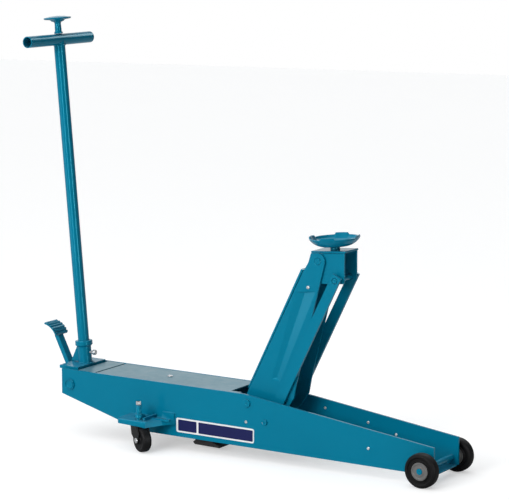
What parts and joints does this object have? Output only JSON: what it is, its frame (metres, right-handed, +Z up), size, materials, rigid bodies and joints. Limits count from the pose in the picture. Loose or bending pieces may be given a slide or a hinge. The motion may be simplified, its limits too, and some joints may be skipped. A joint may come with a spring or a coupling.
{
  "type": "trolley jack",
  "caption": "Long low trolley jack with a levelled lifting head, round saddle, upright T-handle, foot pedal, fixed front wheels and outrigger casters.",
  "frame": {"origin": "on the ground, at the middle of the jack's length and width", "axes": "+Z up, +X along the chassis from the handle to the nose wheels, +Y to the left of someone standing at the handle"},
  "size_m": [1.4364, 0.3632, 1.2936],
  "materials": {
    "teal_paint": "gloss sprayed enamel with slight orange peel",
    "deck_paint": "the same enamel seen under soft light",
    "zinc_steel": "zinc plated",
    "pin_steel": "oiled turned steel",
    "chrome_rod": "hard chrome",
    "black_tyre": "solid tyre",
    "black_rubber": "matt",
    "hub_grey": "moulded",
    "black_enamel": "satin black",
    "black_casting": "painted casting",
    "label_white": "vinyl film",
    "label_navy": "vinyl film"
  },
  "bodies": {
    "chassis": {"side_plate_right": "teal_paint", "link_pin_right": "teal_paint", "caster_bracket_right": "teal_paint", "side_plate_left": "teal_paint", "link_pin_left": "teal_paint", "caster_bracket_left": "teal_paint", "top_cover": "deck_paint", "rear_cover": "deck_paint", "cover_screw": "zinc_steel", "tail_pin": "teal_paint", "main_shaft": "teal_paint", "front_axle": "teal_paint", "nose_plate": "teal_paint", "ground_skid": "black_rubber", "pump_block": "black_casting", "ram_cylinder": "black_casting", "oil_tank": "black_casting", "filler_plug": "zinc_steel"},
    "handle": {"handle_yoke": "teal_paint", "handle_socket": "teal_paint", "clamp_bolt": "zinc_steel", "handle_tube": "teal_paint", "t_bar": "teal_paint", "pump_cam": "pin_steel"},
    "release": {"release_knob": "teal_paint", "release_rod": "pin_steel"},
    "pedal": {"pedal_lever": "teal_paint", "pedal_tread": "teal_paint"},
    "pump_plunger": {"pump_plunger": "pin_steel"},
    "arm": {"arm_plate_right": "teal_paint", "arm_plate_left": "teal_paint", "arm_web": "teal_paint", "arm_brace": "teal_paint", "arm_pivot_tube": "pin_steel", "crank_pin": "pin_steel", "head_shaft": "teal_paint"},
    "head": {"head_plate_right": "teal_paint", "head_plate_left": "teal_paint", "head_top": "teal_paint", "link_shaft": "teal_paint"},
    "saddle": {"saddle": "teal_paint"},
    "links": {"link_bar_right": "teal_paint", "link_bar_left": "teal_paint"},
    "ram": {"ram_rod": "chrome_rod", "ram_piston": "pin_steel", "ram_fork": "pin_steel"},
    "front_wheel_right": {"front_tyre_right": "black_tyre", "front_hub_right": "hub_grey"},
    "caster_right": {"caster_fork_right": "black_enamel", "caster_axle_right": "zinc_steel", "stud_nut_right": "zinc_steel"},
    "caster_wheel_right": {"caster_wheel_right": "black_tyre"},
    "front_wheel_left": {"front_tyre_left": "black_tyre", "front_hub_left": "hub_grey"},
    "caster_left": {"caster_fork_left": "black_enamel", "caster_axle_left": "zinc_steel", "stud_nut_left": "zinc_steel"},
    "caster_wheel_left": {"caster_wheel_left": "black_tyre"}
  },
  "joints": [
    {"name": "handle_pump", "type": "hinge", "parent": "chassis", "child": "handle", "pos_m": [-0.57688, 0, 0.16105], "axis": [0, 1, 0], "range_deg": [-42, 4]},
    {"name": "release_turn", "type": "hinge", "parent": "handle", "child": "release", "pos_m": [-0.57688, 0, 0.16105], "axis": [-0.0711, 0, 0.9975], "range_deg": [0, 120]},
    {"name": "pedal_press", "type": "hinge", "parent": "handle", "child": "pedal", "pos_m": [-0.57688, 0, 0.16105], "axis": [0, 1, 0], "range_deg": [-18, 0], "stiffness_Nm_per_rad": 20, "springref_deg": 20.05},
    {"name": "pump_stroke", "type": "slide", "parent": "chassis", "child": "pump_plunger", "axis": [0.9999, 0, -0.0145], "range_m": [-0.003, 0.02]},
    {"name": "arm_lift", "type": "hinge", "parent": "chassis", "child": "arm", "pos_m": [0.07185, 0, 0.17165], "axis": [0, 1, 0], "range_deg": [0, 73]},
    {"name": "head_level", "type": "hinge", "parent": "arm", "child": "head", "pos_m": [0.29576, 0, 0.60595], "axis": [0, 1, 0], "range_deg": [-74, 1]},
    {"name": "link_swing", "type": "hinge", "parent": "chassis", "child": "links", "pos_m": [0.13412, 0, 0.12074], "axis": [0, 1, 0], "range_deg": [-1, 74]},
    {"name": "ram_stroke", "type": "slide", "parent": "chassis", "child": "ram", "axis": [0.9999, 0, -0.0145], "range_m": [-0.0845, 0.001]},
    {"name": "saddle_swivel", "type": "hinge", "parent": "head", "child": "saddle", "pos_m": [0.32904, 0, 0.63077], "axis": [-0.0553, 0, 0.9985], "continuous": true},
    {"name": "front_wheel_spin_right", "type": "hinge", "parent": "chassis", "child": "front_wheel_right", "pos_m": [0.66815, 0, 0.05], "axis": [0, 1, 0], "continuous": true},
    {"name": "front_wheel_spin_left", "type": "hinge", "parent": "chassis", "child": "front_wheel_left", "pos_m": [0.66815, 0, 0.05], "axis": [0, 1, 0], "continuous": true},
    {"name": "caster_swivel_right", "type": "hinge", "parent": "chassis", "child": "caster_right", "pos_m": [-0.27503, -0.145, 0.08], "axis": [0, 0, 1], "continuous": true},
    {"name": "caster_spin_right", "type": "hinge", "parent": "caster_right", "child": "caster_wheel_right", "pos_m": [-0.25721, -0.15408, 0.0372], "axis": [0.454, 0.891, 0], "continuous": true},
    {"name": "caster_swivel_left", "type": "hinge", "parent": "chassis", "child": "caster_left", "pos_m": [-0.27503, 0.145, 0.08], "axis": [0, 0, 1], "continuous": true},
    {"name": "caster_spin_left", "type": "hinge", "parent": "caster_left", "child": "caster_wheel_left", "pos_m": [-0.25721, 0.15408, 0.0372], "axis": [-0.454, 0.891, 0], "continuous": true}
  ],
  "couplings": [
    {"joint": "pump_stroke", "follows": "handle_pump", "m_per_rad": -0.0255},
    {"joint": "head_level", "follows": "arm_lift", "ratio": -1},
    {"joint": "link_swing", "follows": "arm_lift", "ratio": 1},
    {"joint": "ram_stroke", "follows": "arm_lift", "m_per_rad": -0.065361}
  ]
}
